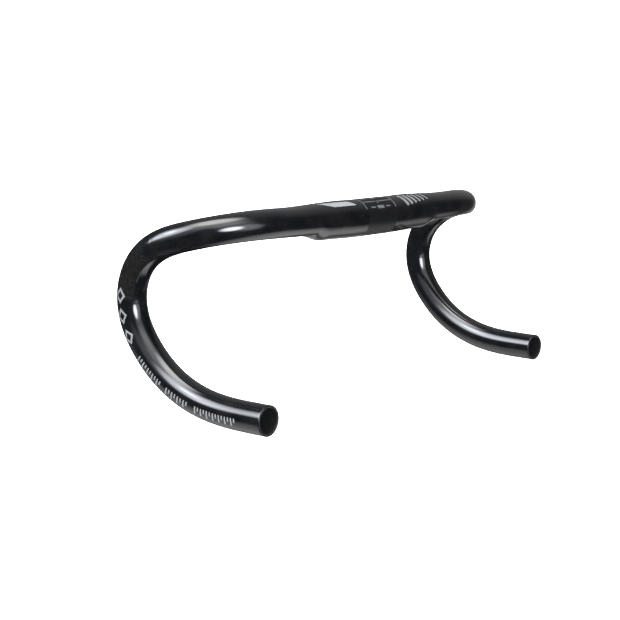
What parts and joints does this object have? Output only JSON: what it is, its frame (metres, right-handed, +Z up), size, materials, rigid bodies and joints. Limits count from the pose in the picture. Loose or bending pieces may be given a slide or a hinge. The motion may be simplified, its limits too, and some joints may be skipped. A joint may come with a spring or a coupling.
{
  "type": "drop handlebar",
  "caption": "Compact drop handlebar: hollow carbon tops with a round stem clamp and underside cable grooves, curved hooks with grip zones and open bar ends.",
  "frame": {"origin": "centre of the round stem clamp, halfway between the two sides", "axes": "+X to the rider's right along the clamp, +Y forwards in the riding direction, +Z up with the drops level"},
  "size_m": [0.4076, 0.1526, 0.1609],
  "materials": {
    "gloss_carbon": "black carbon composite under a smooth gloss clear coat",
    "raw_carbon": "uncoated satin carbon composite, as moulded",
    "clamp_grip": "fine matte gritty grip coat",
    "lever_grip": "matte speckled peel-ply texture",
    "scale_print": "thin pale grey printed marks",
    "flash_print": "off-white printed panel under clear coat",
    "mark_print": "silver-white printed graphic under clear coat",
    "drop_print": "silver-grey printed graduations under clear coat"
  },
  "bodies": {
    "root": {"centre_section": "gloss_carbon", "clamp_sleeve": "raw_carbon", "clamp_grip_band": "clamp_grip", "left_hook": "gloss_carbon", "left_joint_sleeve": "raw_carbon", "left_lever_grip_band": "lever_grip", "right_hook": "gloss_carbon", "right_joint_sleeve": "raw_carbon", "right_lever_grip_band": "lever_grip", "centre_scale_film": "scale_print", "left_flash_film": "flash_print", "right_mark_film": "mark_print", "left_drop_film": "drop_print", "right_drop_film": "drop_print"}
  },
  "joints": []
}
